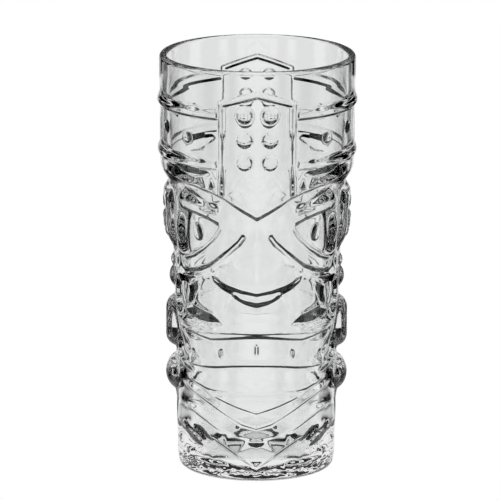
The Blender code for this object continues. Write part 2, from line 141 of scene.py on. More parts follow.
MUZZLE = [
    [(0, 66.4, 33.5), (12, 67.0, 33.5), (24, 66.4, 33.3)],
    [(36, 79.0, 33.2), (42.7, 78.1, 33.3), (46.2, 76.4, 33.4), (48.8, 73.9, 33.5), (49.1, 71.3, 33.6),
     (47.1, 69.3, 33.6), (43.6, 68.0, 33.6), (37.3, 66.9, 33.5), (31.8, 65.7, 33.3), (28.1, 63.9, 33.1),
     (27.3, 62.2, 32.9)],
    [(29.4, 61.3, 31.8), (36, 61.0, 30.5), (46, 61.2, 29.8), (52.3, 61.8, 29.6), (59.2, 62.4, 29.7),
     (66, 63.0, 30.0)],
    [(51, 77.0, 31.6), (54.5, 74.5, 30.9), (55.6, 71.5, 30.7), (54, 68.0, 32.4)],
    [(60, 75.4, 30.8), (66.5, 73.4, 30.6), (68, 69.6, 30.4), (64, 66.6, 29.9), (58, 66.4, 29.8)],
    [(62, 82.0, 33.0), (66, 78.0, 32.8), (72, 76.0, 32.0), (74, 70.0, 31.8), (72, 64.0, 31.6)],
]
MOUTH = [
    [(26.5, 60.9, 32.9), (37.6, 60.2, 32.8), (47, 59.8, 32.6), (56, 59.9, 32.4), (64, 60.9, 32.0)],
    [(30, 60.2, 32.5), (38, 59.5, 32.2), (47, 59.0, 31.9), (56, 59.2, 31.8), (64, 60.1, 31.7)],
    [(0, 59.1, 33.6), (15, 59.1, 33.6), (28, 58.7, 33.5), (38, 58.3, 33.3), (50, 58.2, 33.0),
     (62, 59.0, 32.4)],
    [(0, 58.5, 33.1), (15, 58.5, 33.1), (28, 58.1, 33.0), (38, 57.7, 32.8), (50, 57.7, 32.5),
     (62, 58.4, 32.0)],
    [(0, 58.0, 33.2), (7.5, 57.8, 33.2), (14, 57.4, 33.2), (23.5, 56.6, 33.1), (32, 55.9, 33.0),
     (38, 56.3, 32.8), (46.5, 56.8, 32.5), (55, 57.2, 32.2), (63, 57.7, 31.9)],
    [(0, 56.9, 32.2), (7.5, 56.8, 32.2), (14, 56.5, 32.2), (23.5, 55.8, 32.3), (32, 55.2, 32.3),
     (40, 55.5, 31.9), (47, 56.0, 31.6), (55, 56.4, 31.4), (63, 56.7, 31.2)],
    [(36, 54.4, 32.4), (46, 54.0, 32.2), (54, 54.4, 31.9)],
    [(0, 48.4, 32.3), (24, 48.2, 32.2), (42, 47.6, 31.9)],
    [(0, 46.8, 32.8), (11, 46.6, 32.8), (19, 46.1, 32.7), (28, 45.3, 32.6), (37, 44.7, 32.4),
     (50, 44.5, 32.1), (64, 45.0, 31.8), (72, 45.4, 31.5)],
    [(0, 46.2, 32.2), (11, 46.0, 32.2), (19, 45.5, 32.1), (28, 44.7, 32.0), (37, 44.1, 31.8),
     (50, 43.8, 31.4), (64, 44.2, 31.2), (72, 44.6, 31.2)],
    [(46.6, 49.8, 31.9), (48.8, 49.2, 31.8), (50.2, 46.9, 31.8)],
    [(45.6, 46.6, 31.2), (48.0, 46.2, 30.8)],
    [(54, 52.8, 31.6), (57.5, 54.6, 31.8), (61, 55.4, 31.6)],
    [(53.5, 49.5, 30.6), (57.4, 51.4, 30.4), (62.4, 54.4, 30.5), (66, 55.4, 30.6)],
    [(54, 47.4, 31.2), (58, 48.6, 31.4), (62.5, 51.6, 31.3), (66, 54.0, 31.2)],
    [(60, 47.0, 29.4), (66, 48.2, 29.2), (70, 52.0, 29.6)],
    [(74, 56.0, 30.6), (74.5, 50.0, 30.6)],
]
CHIN = [
    [(0, 44.8, 32.0), (24, 43.6, 31.9), (37, 42.8, 31.7)],
    [(0, 40.4, 32.3), (20, 40.0, 32.2), (36, 39.6, 31.9)],
    [(0, 35.6, 32.0), (27, 35.5, 31.9), (36, 36.0, 31.8), (44, 37.4, 31.7), (49.5, 38.6, 31.6),
     (46.5, 40.3, 31.7), (43.6, 41.8, 31.8)],
    [(43.2, 40.9, 31.2), (45.9, 39.6, 31.1), (48.0, 38.7, 31.1)],
    [(52, 43.0, 31.6), (58, 43.4, 31.6), (66, 43.5, 31.4)],
    [(53, 40.4, 30.4), (58, 39.9, 29.8), (64, 41.0, 29.9)],
    [(54, 39.2, 31.4), (60, 39.2, 31.4), (66, 40.4, 31.2)],
    [(0, 35.1, 31.5), (27, 35.0, 31.4), (31, 35.0, 31.3), (40, 35.6, 31.0), (50, 36.8, 30.9),
     (58, 37.6, 30.9), (66, 38.2, 30.9)],
]
BEARD = [
    [(0, 34.4, 32.0), (27, 34.3, 31.9), (30.6, 34.2, 31.8)],
    [(0, 27.8, 32.1), (14, 30.2, 32.0), (29.0, 33.2, 31.9), (30.6, 34.2, 31.8)],
    [(0, 27.1, 31.6), (14, 29.5, 31.5), (30.0, 32.6, 31.4), (42, 34.5, 31.3), (54, 36.4, 31.3)],
    [(0, 21.8, 32.0), (10, 23.4, 32.0), (20, 26.4, 31.9), (33, 30.2, 31.8), (40, 31.9, 31.8),
     (50, 34.0, 31.7), (58, 35.5, 31.5), (66, 36.6, 31.3)],
    [(0, 21.2, 31.5), (10, 22.8, 31.5), (20, 25.8, 31.4), (33, 29.4, 31.1), (40, 30.9, 30.9),
     (50, 32.7, 30.6), (58, 33.9, 30.4), (66, 35.4, 30.6)],
    [(13, 21.4, 31.7), (24, 24.8, 31.5), (36, 28.0, 31.3), (50, 29.8, 31.2), (66, 30.8, 31.1),
     (90, 30.6, 30.8)],
    [(0, 18.0, 31.8), (12, 18.6, 31.8), (20, 20.2, 31.8), (24, 20.4, 31.8), (32, 22.2, 31.8),
     (40, 24.2, 31.7), (50, 26.1, 31.5), (60, 27.0, 31.3), (75, 27.6, 30.9), (90, 27.8, 30.7)],
    [(25, 19.2, 31.3), (33, 21.3, 31.2), (40, 23.2, 31.0), (50, 25.0, 30.7), (60, 25.9, 30.5),
     (75, 26.7, 30.4), (90, 27, 30.3)],
    [(0, 16.4, 31.7), (3, 16.2, 31.7), (7, 16.6, 31.6)],
    [(0, 13.2, 30.2), (2.4, 14.0, 30.4), (5, 15.6, 31.2)],
    [(0, 6.6, 31.5), (7, 8.8, 31.5), (14, 11.5, 31.5), (22, 14.2, 31.6), (30, 16.4, 31.6),
     (37, 16.9, 31.5), (42, 17.4, 31.5), (47, 18.4, 31.4), (54, 19.4, 31.3), (60, 21.4, 31.1),
     (68, 23.0, 30.9)],
    [(0, 5.8, 30.9), (7, 8.0, 30.9), (14, 10.7, 30.8), (22, 13.4, 30.8), (30, 15.4, 30.5),
     (36, 15.7, 29.9), (40.5, 14.5, 28.9), (45.5, 13.8, 28.8), (50, 15.8, 28.9), (53, 17.6, 29.6),
     (57, 19.6, 30.3)],
]
FOOT = [
    [(48.5, 12.4, 30.6), (50.5, 14.2, 31.0), (54, 16.2, 31.3), (59, 18.4, 31.4), (65, 19.6, 31.3),
     (70, 19.8, 31.1), (76, 19.0, 30.7)],
    [(51, 11.6, 29.4), (54, 10.7, 28.2), (58, 10.9, 27.8), (62, 12.6, 27.8), (66, 14.4, 28.2),
     (72, 15.0, 28.9), (77, 15.4, 29.8)],
    [(50, 9.8, 30.3), (57, 9.4, 30.2), (64, 10.8, 30.2), (70, 12.8, 30.2), (78, 13.4, 30.1),
     (90, 13.4, 30.0)],
    [(20, 10.2, 30.7), (26, 10.3, 30.9), (31, 9.9, 30.9), (33, 9.2, 30.6), (36, 10.3, 30.9),
     (40.5, 10.0, 30.7)],
    [(21, 9.5, 30.3), (28, 8.6, 29.5), (32, 7.7, 29.3), (34, 7.6, 29.3), (37, 8.0, 29.3),
     (40.8, 7.9, 29.7)],
    [(0, 4.6, 30.2), (20, 6.8, 30.2), (34, 6.6, 30.2), (60, 7.4, 30.2), (75, 8.0, 30.1), (90, 8.0, 30.0)],
    [(0, 0.0, 30.0), (30, 0.0, 30.0), (60, 0.0, 30.0), (90, 0.0, 30.0)],
]
SIDE = [
    [(90, 100, 32.4), (90, 84, 31.6), (90, 69, 31.2), (90, 44, 30.5), (90, 35, 30.4)],
    [(78, 84, 31.6), (80, 69, 31.3), (79, 56, 31.0), (78, 44, 30.7)],
]
FEATURE_LINES = HEAD + BROWS + EYES + LIDS + NOSE + MUZZLE + MOUTH + CHIN + BEARD + FOOT + SIDE


def facets():
    """The triangles between the feature lines, as arrays of their corners' (along, height, radius)."""
    places, radii, edges = [], [], []
    for line in FEATURE_LINES:
        first = len(places)
        for degrees, height, radius in line:
            places.append(Vector((degrees * TURN_MM, height)))
            radii.append(radius)
        edges += [(i, i + 1) for i in range(first, len(places) - 1)]
    points, _, faces, origins, _, _ = delaunay_2d_cdt(places, edges, [], 0, 0.01)
    known = np.array([(p.x, p.y) for p in places])
    corner_radii = []
    for point, origin in zip(points, origins):
        if origin:
            corner_radii.append(radii[origin[0]])
        else:
            near = np.argsort(np.hypot(known[:, 0] - point.x, known[:, 1] - point.y))[:2]
            corner_radii.append(float(np.mean([radii[i] for i in near])))
    corners = [[(points[i].x, points[i].y, corner_radii[i]) for i in face] for face in faces]
    return np.array(corners)


def stretched(along, height, base):
    """The radius of the facets over a grid, and the base radius where no facet reaches."""
    result = base.copy()
    for a, b, c in facets():
        area = (b[0] - a[0]) * (c[1] - a[1]) - (c[0] - a[0]) * (b[1] - a[1])
        if abs(area) < 1e-9:
            continue
        u = ((b[0] - along) * (c[1] - height) - (c[0] - along) * (b[1] - height)) / area
        v = ((c[0] - along) * (a[1] - height) - (a[0] - along) * (c[1] - height)) / area
        w = 1.0 - u - v
        inside = (u >= -1e-6) & (v >= -1e-6) & (w >= -1e-6)
        result[inside] = (u * a[2] + v * b[2] + w * c[2])[inside]
    return result


def softened(grid, passes):
    """Rounds the creases of a grid, which is mirrored past its edges."""
    for _ in range(passes):
        wide = np.pad(grid, 1, mode="reflect")
        rows = (wide[:-2] + 2.0 * wide[1:-1] + wide[2:]) / 4.0
        grid = (rows[:, :-2] + 2.0 * rows[:, 1:-1] + rows[:, 2:]) / 4.0
    return grid


# ---------------------------------------------------------------- rounded features, laid on by formula
# A pair of numbers named ..._FADE says where a feature is nothing and where it is whole.

# The band's heights and radii, and the rings' heights and how far they stand out
HEAD_PROFILE = [(100, 36.8), (BAND_EDGE, 36.8), (140, 36.8), (147, 36.9), (152, 37.1), (160, 37.1)]
RINGS = [
    [(121.9, 0.0), (122.6, 0.75), (124.4, 0.75), (126.4, 0.0)],
    [(141.2, 0.0), (141.9, 0.95), (143.6, 0.9), (145.6, 0.0)],
]
HEAD_RADIUS = 37.0  # at which distances along the band are measured
CREST_EDGE = 23.0  # degrees
RING_END = 1.6  # degrees from the crest's edge
CREST_TOP, CREST_EAVES = 152.2, 147.9
CREST_FRAME = [(0.0, 0.0), (0.5, 1.0), (1.4, 1.0), (2.0, 0.3)]  # inset from the edge, height
ROOF_COSINE = 0.95  # turns a drop below the crest's sloping top into a distance from it
CREST_FADE = (100.0, 104.0)
LOW_FRAME_INSET, LOW_FRAME_PROUD = 1.0, 0.5  # the frame is bolder where the crest crosses the visor
LOW_FRAME_SIDE_FADE, LOW_FRAME_FADE = (1.3, 0.6), (121.0, 117.0)
WAVE_MIDDLE, WAVE_SWING, WAVE_TURNS = 4.4, 0.9, 0.75  # a wavy line down each side of the crest's lower end
WAVE_START, WAVE_WIDTH, WAVE_DEPTH = 112.0, 0.45, 0.3
WAVE_SPREAD = 1.15  # from the face's millimetres a degree to the crest's
WAVE_FADE = (121.0, 118.0)
STUD_ANGLE, STUD_ROWS = 7.4, (143.6, 134.3, 125.6)
STUD_RADIUS, STUD_PROUD = 3.0, 1.5
BAND_STUDS = [(45.0, 133.0), (67.5, 134.5)]  # degrees, height
BAND_STUD_RADIUS, BAND_STUD_PROUD = 2.1, 0.8


def head_arc(degrees):
    """The distance round the head band."""
    return degrees * math.radians(1.0) * HEAD_RADIUS


def dome(distance, radius, proud):
    """The height of a round-topped stud at a distance from its middle."""
    return proud * np.sqrt(np.clip(1.0 - (distance / radius) ** 2, 0.0, 1.0))


def head(turn, height):
    """The band above the brows: two rings, the crest plate and the studs."""
    radius = np.interp(height, *zip(*HEAD_PROFILE))
    outside_crest = smooth(CREST_EDGE, CREST_EDGE + RING_END, turn)
    for ring in RINGS:
        radius = radius + np.interp(height, *zip(*ring)) * outside_crest
    along = head_arc(turn)
    roof = CREST_TOP - (CREST_TOP - CREST_EAVES) * turn / CREST_EDGE
    inset = np.minimum(head_arc(CREST_EDGE - turn), (roof - height) * ROOF_COSINE)
    plate = np.interp(inset, *zip(*CREST_FRAME))
    low_frame = smooth(*LOW_FRAME_SIDE_FADE, np.abs(inset - LOW_FRAME_INSET))
    plate = plate + LOW_FRAME_PROUD * low_frame * smooth(*LOW_FRAME_FADE, height)
    wave = WAVE_MIDDLE + WAVE_SWING * np.sin((height - WAVE_START) * WAVE_TURNS)
    groove = WAVE_DEPTH * np.exp(-((turn * TURN_MM * WAVE_SPREAD - wave) / WAVE_WIDTH) ** 2)
    plate = plate - groove * smooth(*WAVE_FADE, height)
    radius = radius + plate * smooth(*CREST_FADE, height)
    for row in STUD_ROWS:
        distance = np.hypot(along - head_arc(STUD_ANGLE), height - row)
        radius = radius + dome(distance, STUD_RADIUS, STUD_PROUD)
    for angle, row in BAND_STUDS:
        distance = np.hypot(along - head_arc(angle), height - row)
        radius = radius + dome(distance, BAND_STUD_RADIUS, BAND_STUD_PROUD)
    return radius


PUPIL_TURN, PUPIL_MIDDLE, PUPIL_LEAN = 45.6, 95.9, 0.15
PUPIL_HALF_WIDTH, PUPIL_HALF_HEIGHT, PUPIL_PROUD = 2.6, 3.4, 1.1
PUPIL_GROOVE, PUPIL_GROOVE_WIDTH = 1.2, 0.25  # in shares of the pupil's half size
PUPIL_GROOVE_DEPTH = 0.5


def pupil(turn, height):
    """A raised oval that leans outward at its top, with a groove round it, in the eye's recess."""
    up = height - PUPIL_MIDDLE
    across = (turn - PUPIL_TURN) * TURN_MM - PUPIL_LEAN * up
    distance = np.hypot(across / PUPIL_HALF_WIDTH, up / PUPIL_HALF_HEIGHT)
    ball = PUPIL_PROUD * np.sqrt(np.clip(1.0 - distance**2, 0.0, 1.0))
    dip = np.clip(1.0 - ((distance - PUPIL_GROOVE) / PUPIL_GROOVE_WIDTH) ** 2, 0.0, 1.0)
    return ball - PUPIL_GROOVE_DEPTH * dip


HOLLOW_TURN, HOLLOW_MIDDLE = 48.5, 28.6
HOLLOW_WIDTH, HOLLOW_HEIGHT, HOLLOW_DEPTH = 3.4, 1.0, 0.6


def beard_hollow(turn, height):
    """A shallow dent in the beard's broad lock."""
    across = (turn - HOLLOW_TURN) * TURN_MM / HOLLOW_WIDTH
    return -HOLLOW_DEPTH * np.exp(-(across**2) - ((height - HOLLOW_MIDDLE) / HOLLOW_HEIGHT) ** 2)


TOOTH_GAPS = [(0.0, 52.4, 2.6), (24.5, 50.4, 2.0), (48.4, 48.8, 1.6)]  # degrees, middle, half height
TOOTH_GAP_WIDTH, TOOTH_GAP_DEPTH = 0.5, 1.1


def tooth_gaps(turn, height):
    """Shallow upright dents between the teeth."""
    depth = np.zeros_like(turn)
    for angle, middle, half in TOOTH_GAPS:
        across = (turn - angle) * TURN_MM / TOOTH_GAP_WIDTH
        depth -= TOOTH_GAP_DEPTH * np.exp(-(across**2)) * smooth(half, half * 0.5, abs(height - middle))
    return depth


# The points along each fine raised line, as (degrees, height), and how far it stands out. It drops steeply
# on the left of the way that its points run.
CREASES = [
    ([(53.0, 85.9), (45.0, 87.5), (36.0, 91.0), (29.0, 94.9), (24.6, 98.6)], 1.0),
    ([(29.0, 82.4), (24.0, 84.9), (17.0, 86.4)], 0.7),
    ([(46.2, 76.4), (48.8, 73.9), (49.1, 71.3), (47.1, 69.3), (43.6, 68.0), (37.3, 66.9), (31.8, 65.7)],
     0.5),
]
CREASE_PROFILE = [(-1.3, 0.0), (-0.1, 1.0), (0.0, 1.0), (0.7, 0.0)]  # offset to the left, height
FAR_AWAY = 99.0


def creases(turn, height):
    """Fine raised lines that rise gently on one side and drop steeply on the other."""
    along = turn * TURN_MM
    lift = np.zeros_like(turn)
    for line, proud in CREASES:
        nearest = np.full_like(turn, FAR_AWAY)
        offset = np.full_like(turn, FAR_AWAY)
        for (turn_a, height_a), (turn_b, height_b) in zip(line, line[1:]):
            run, rise = (turn_b - turn_a) * TURN_MM, height_b - height_a
            length = math.hypot(run, rise)
            right = along - turn_a * TURN_MM
            up = height - height_a
            share = np.clip((right * run + up * rise) / length**2, 0.0, 1.0)
            distance = np.hypot(right - share * run, up - share * rise)
            side = np.sign(run * up - rise * right)
            closer = distance < nearest
            nearest = np.where(closer, distance, nearest)
            offset = np.where(closer, distance * side, offset)
        lift += proud * np.interp(offset, *zip(*CREASE_PROFILE), left=0.0, right=0.0)
    return lift


# Each panel's corners, as (degrees, height), and its plane: the radius at a height, and how much nearer to
# the axis it comes with each millimetre below that.
PANELS = [
    ([(50.0, 21.1), (43.6, 21.0), (31.6, 15.9), (31.4, 14.8), (37.6, 13.2), (42.6, 15.0)],
     31.7, 21.6, 0.54),
    ([(63.3, 18.2), (59.0, 18.4), (43.6, 12.0), (44.4, 9.6), (52.0, 10.5), (63.3, 15.3)],
     31.7, 19.0, 0.54),
    ([(23.8, 61.4), (31.0, 65.3), (45.0, 67.4), (55.0, 66.0), (57.0, 63.5), (50.6, 62.0), (37.8, 60.4)],
     33.6, 67.6, 0.52),
    ([(40.6, 76.5), (52.0, 75.4), (58.6, 66.4), (47.0, 68.2)],
     33.6, 77.0, 0.46),
    ([(degrees, height) for degrees, height, _ in VISOR_RECESS[:-1]],
     36.8, 121.9, 0.80),
]
PANEL_FLOOR = 27.4  # no panel is cut nearer to the axis, which leaves about 1 mm of wall at the foot


def panels(turn, height, radius):
    """Smooth panels cut into the wall, which lean inward towards their lower ends."""
    for corners, top_radius, top, slope in PANELS:
        inside = np.zeros(turn.shape, dtype=bool)
        for (turn_a, height_a), (turn_b, height_b) in zip(corners, corners[1:] + corners[:1]):
            crosses = (height_a > height) != (height_b > height)
            rise = np.where(height_b == height_a, 1.0, height_b - height_a)
            inside ^= crosses & (turn < turn_a + (turn_b - turn_a) * (height - height_a) / rise)
        plane = np.maximum(top_radius - slope * (top - height), PANEL_FLOOR)
        radius = np.where(inside, plane, radius)
    return radius


EAR = [  # height, radius
    (84.0, 31.0), (86.0, 31.9), (88.0, 32.9), (90.0, 34.0), (92.0, 34.75), (96.0, 35.3), (100.0, 35.5),
    (104.0, 35.7), (106.0, 35.8), (108.0, 35.4), (110.0, 34.2), (111.6, 32.4),
]
EAR_ROOT, EAR_HALF_WIDTH, EAR_BOTTOM = 31.0, 10.5, 84.5
CURL_MIDDLE, CURL_RADIUS, CURL_STRETCH = 103.2, 3.0, 1.3
CURL_WIDTH, CURL_DEPTH = 0.7, 0.9
FOLD_OUT, FOLD_LEAN, FOLD_START = 4.6, 0.12, 95.0
FOLD_WIDTH, FOLD_DEPTH = 0.8, 0.8
FOLD_BOTTOM_FADE, FOLD_TOP_FADE = (86.0, 90.0), (103.0, 99.0)
SMALL_FOLD_DEPTH, SMALL_FOLD_RISE, SMALL_FOLD_OUT = 0.35, 1.9, 0.8  # depth, and radians a millimetre
SMALL_FOLD_SIDE_FADE, SMALL_FOLD_TOP_FADE = (4.5, 2.5), (101.0, 98.0)
SIDE_RADIUS = 31.5  # at which distances from the side's middle line are measured
SIDE_REACH = 60.0  # degrees from that line, past which none of this lies
PLUG_MIDDLE, PLUG_BASE, PLUG_PROUD, PLUG_EDGE = 56.4, 29.6, 4.9, 10.2
PLUG_FLAT, PLUG_ROUNDING = 5.0, 5.2  # the radius of its flat middle, and its rounded border's width
PLUG_DISH, PLUG_DISH_FADE = 0.7, (5.2, 4.4)
SIDE_BUMPS = [  # a bead and two knobs: middle height, half width, half height, reach, radius of the middle
    (36.4, 10.5, 7.4, 34.5, 28.6), (74.0, 4.0, 4.8, 33.2, 29.5), (80.2, 5.0, 3.2, 32.6, 30.0),
]
FILLET, PLUG_FILLET = 0.6, 0.5


def bump(side, height, middle, half_width, half_height, reach, core):
    """An ellipsoid on the side of the glass, as the radius at which its skin lies."""
    spread = 1.0 - (side / half_width) ** 2 - ((height - middle) / half_height) ** 2
    return np.where(spread > 0.0, core + (reach - core) * np.sqrt(np.clip(spread, 0.0, 1.0)), 0.0)


def ear(side, height):
    """The radius of an ear, with a curl in its upper half, a fold down it and small folds in its lobe."""
    profile = np.interp(height, *zip(*EAR))
    lobe = np.sqrt(np.clip(1.0 - (side / EAR_HALF_WIDTH) ** 4, 0.0, 1.0))
    radius = EAR_ROOT + (profile - EAR_ROOT) * lobe
    from_curl = np.hypot(side / CURL_STRETCH, height - CURL_MIDDLE) - CURL_RADIUS
    curl = np.exp(-((from_curl / CURL_WIDTH) ** 2))
    from_fold = side - FOLD_OUT - FOLD_LEAN * (height - FOLD_START)
    fold = np.exp(-((from_fold / FOLD_WIDTH) ** 2)) * smooth(*FOLD_TOP_FADE, height)
    small = np.sin(SMALL_FOLD_RISE * height + SMALL_FOLD_OUT * side)
    small = small * smooth(*SMALL_FOLD_SIDE_FADE, side) * smooth(*SMALL_FOLD_TOP_FADE, height)
    folds = FOLD_DEPTH * fold + SMALL_FOLD_DEPTH * small
    radius = radius - CURL_DEPTH * curl - folds * smooth(*FOLD_BOTTOM_FADE, height)
    return np.where(height > EAR_BOTTOM, radius, 0.0)


def plug(side, height):
    """The radius of the round disc plug below an ear, which is dished in its middle."""
    distance = np.hypot(side, height - PLUG_MIDDLE)
    border = np.clip(distance - PLUG_FLAT, 0.0, None) / PLUG_ROUNDING
    rounded = np.sqrt(np.clip(1.0 - border**2, 0.0, 1.0))
    disc = PLUG_BASE + PLUG_PROUD * rounded - PLUG_DISH * smooth(*PLUG_DISH_FADE, distance)
    return np.where(distance < PLUG_EDGE, np.hypot(disc, side), 0.0)


def sides(turn, height, radius):
    """The glass with an ear, a plug, two knobs and a bead at each side."""
    side = SIDE_RADIUS * np.tan(np.radians(np.clip(90.0 - turn, 0.0, SIDE_REACH)))
    radius = soft_max(radius, ear(side, height), FILLET)
    radius = soft_max(radius, plug(side, height), PLUG_FILLET)
    for shape in SIDE_BUMPS:
        radius = soft_max(radius, bump(side, height, *shape), FILLET)
    return radius


LUMP_SEED = 7
LUMP_WAVES, LUMP_SIZE = 46, 0.003  # how many waves are laid over each other, and how high each is
WAVES_ROUND = (16, 60)  # each wave has this many crests round the foot,
WAVE_RISE = (1.8, 4.2)  # and rises or falls by this many radians a millimetre up it
LUMPS_TOP_FADE, LUMPS_BOTTOM_FADE = (9.0, 6.0), (-1.0, 1.5)
CORNER_HEIGHT, CORNER_DEPTH = 1.8, 1.9
TAPER_HEIGHT, TAPER_DEPTH = 6.0, 0.7


def hammered(turn_round, height):
    """The lumpy band round the foot, which differs all the way round."""
    angle = np.radians(turn_round)
    lumps = np.zeros_like(turn_round)
    generator = np.random.default_rng(LUMP_SEED)
    for _ in range(LUMP_WAVES):
        waves = generator.integers(*WAVES_ROUND)
        rise = generator.uniform(*WAVE_RISE) * generator.choice((-1.0, 1.0))
        start = generator.uniform(0.0, math.tau)
        lumps += np.sin(waves * angle + rise * height + start)
    return lumps * LUMP_SIZE * smooth(*LUMPS_TOP_FADE, height) * smooth(*LUMPS_BOTTOM_FADE, height)


def foot_corner(height):
    """How far the foot's taper and rounded corner lie inside the wall."""
    share = np.clip(1.0 - height / CORNER_HEIGHT, 0.0, 1.0)
    corner = CORNER_DEPTH * (1.0 - np.sqrt(1.0 - share**2))
    return corner + TAPER_DEPTH * np.clip(1.0 - height / TAPER_HEIGHT, 0.0, 1.0)


EDGE_PASSES = 1  # of the softening filter, to round the facets' edges
CRISPNESS, CRISP_PASSES = 0.6, 60  # how far the relief stands out from its own softened shape
SIDE_PASSES = 16  # the relief is softer towards the sides
CRISP_FADE, SIDE_FADE = (62.0, 52.0), (50.0, 60.0)  # degrees
CREST_SIDE_FADE = (26.0, 23.4)  # degrees
VISOR_BELOW, VISOR_ABOVE = 0.4, 0.8  # the crest plate ends this near to the visor's lower edge
BAND_BELOW, BAND_ABOVE = 0.6, 0.1  # the face gives way to the band this near to the band's edge


def quarter(turn, height):
    """The outer radius over one quarter, from the face's centre line at 0 degrees to the side at 90."""
    top = head(turn, height)
    low = softened(stretched(turn * TURN_MM, height, top), EDGE_PASSES)
    crispness = CRISPNESS * smooth(*CRISP_FADE, turn)
    low = low + crispness * (low - softened(low, CRISP_PASSES))
    low = low + smooth(*SIDE_FADE, turn) * (softened(low, SIDE_PASSES) - low)
    for relief in (pupil, beard_hollow, tooth_gaps, creases):
        low = low + relief(turn, height)
    low = panels(turn, height, low)
    low = sides(turn, height, low)
    crest = (top - np.interp(height, *zip(*HEAD_PROFILE))) * smooth(*CREST_SIDE_FADE, turn)
    edge_turns, edge_heights, _ = zip(*VISOR_EDGE)
    visor_edge = np.interp(turn, edge_turns, edge_heights)
    low = low + crest * smooth(visor_edge - VISOR_BELOW, visor_edge + VISOR_ABOVE, height)
    above = smooth(BAND_EDGE - BAND_BELOW, BAND_EDGE + BAND_ABOVE, height)
    return softened(low * (1.0 - above) + top * above, EDGE_PASSES)


# ---------------------------------------------------------------- the glass's mesh


LIP = 1.5
REST_RING = 21.0
PUNT = 1.8  # the hollow under the foot
UNDERSIDE = [  # radius, height
    (3.0, PUNT), (8.0, PUNT), (13.0, PUNT * 0.9), (17.0, PUNT * 0.45), (19.5, PUNT * 0.12),
    (REST_RING, 0.0),
]
INSIDE = [  # height, radius
    (HEIGHT - LIP, 34.1), (150.0, 33.7), (140.0, 33.4), (124.0, 33.2), (119.0, 32.2), (115.0, 31.2),
    (111.0, 30.2), (107.0, 29.6), (102.0, 29.0), (97.0, 28.6), (90.0, 28.2), (60.0, 27.6), (40.0, 27.1),
    (22.0, 26.6), (5.0, 26.1),
]
INSIDE_STEP = 0.8
FLOOR, FLOOR_CORNER = 6.0, 4.0
FLOOR_RINGS = (19.0, 15.0, 11.0, 7.0, 3.0)
ARC_STEPS = 12
BACK_SOFTENING, BACK_PASSES = 0.8, 200  # the second face is pressed less sharply
BACK_FADE, BACK_TOP = (88.0, 125.0), 5.0  # degrees, and how far below the band it is softened in full


def ring_rows():
    """Rows of (radius, height) that are the same all the way round: the rim, the inside and the floor."""
    rows = []
    outer = HEAD_PROFILE[-1][1]
    for number in range(1, ARC_STEPS):
        angle = math.pi * number / ARC_STEPS
        rows.append((outer - LIP + LIP * math.cos(angle), HEIGHT - LIP + LIP * math.sin(angle)))
    heights, radii = zip(*INSIDE[::-1])
    for height in np.arange(HEIGHT - LIP, FLOOR + FLOOR_CORNER + INSIDE_STEP / 4, -INSIDE_STEP):
        rows.append((float(np.interp(height, heights, radii)), float(height)))
    middle = INSIDE[-1][1] - FLOOR_CORNER
    for number in range(ARC_STEPS + 1):
        angle = -0.5 * math.pi * number / ARC_STEPS
        level = FLOOR + FLOOR_CORNER * (1.0 + math.sin(angle))
        rows.append((middle + FLOOR_CORNER * math.cos(angle), level))
    return rows + [(radius, FLOOR) for radius in FLOOR_RINGS]


def outer_wall():
    """The turns and heights of a grid all the way round the glass, and the wall's outer radius over it."""
    heights = np.arange(0.0, HEIGHT - LIP, ROW_STEP)
    heights[-1] = HEIGHT - LIP
    turn, height = np.meshgrid(np.linspace(0.0, 90.0, COLUMNS + 1), heights)
    part = quarter(turn, height)
    half = np.hstack([part, part[:, -2::-1]])
    half_turn = np.hstack([turn, 180.0 - turn[:, -2::-1]])
    half_height = np.hstack([height, height[:, -2::-1]])
    shallow = BACK_SOFTENING * smooth(*BACK_FADE, half_turn)
    shallow = shallow * smooth(BAND_EDGE, BAND_EDGE - BACK_TOP, half_height)
    half = half + shallow * (softened(half, BACK_PASSES) - half)
    full = np.hstack([half[:, :-1], half[:, :0:-1]])
    around = np.linspace(0.0, 360.0, full.shape[1], endpoint=False)
    full_turn, full_height = np.meshgrid(around, heights)
    return around, heights, full + hammered(full_turn, full_height) - foot_corner(full_height)


def glass_mesh():
    """The closed skin of the glass: up the outside, over the rim, down the inside and across the floor."""
    around, heights, wall = outer_wall()
    columns = len(around)
    rows = [(np.full(columns, radius), np.full(columns, level)) for radius, level in UNDERSIDE]
    for share in (0.25, 0.5, 0.75):
        rows.append((REST_RING + (wall[0] - REST_RING) * share, np.zeros(columns)))
    for radii, level in zip(wall, heights):
        rows.append((radii, np.full(columns, level)))
    for radius, level in ring_rows():
        rows.append((np.full(columns, radius), np.full(columns, level)))

    radii = np.array([r for r, _ in rows])
    levels = np.array([z for _, z in rows])
    angle = np.radians(around)
    vertices = np.stack([radii * np.sin(angle), -radii * np.cos(angle), levels], axis=-1).reshape(-1, 3)
    bottom, top = len(vertices), len(vertices) + 1
    vertices = np.vstack([vertices, [(0.0, 0.0, PUNT), (0.0, 0.0, FLOOR)]]) * MM
    index = np.arange(len(rows) * columns).reshape(len(rows), columns)
    after = np.roll(index, -1, axis=1)
    quads = np.stack([index[:-1], after[:-1], after[1:], index[1:]], axis=-1).reshape(-1, 4)
    faces = quads.tolist()
    faces += [(bottom, int(b), int(a)) for a, b in zip(index[0], after[0])]
    faces += [(top, int(a), int(b)) for a, b in zip(index[-1], after[-1])]
    mesh = bpy.data.meshes.new("tumbler_glass")
    mesh.from_pydata(vertices.tolist(), [], faces)
    mesh.shade_smooth()
    mesh.update()
    return mesh


# ---------------------------------------------------------------- materials


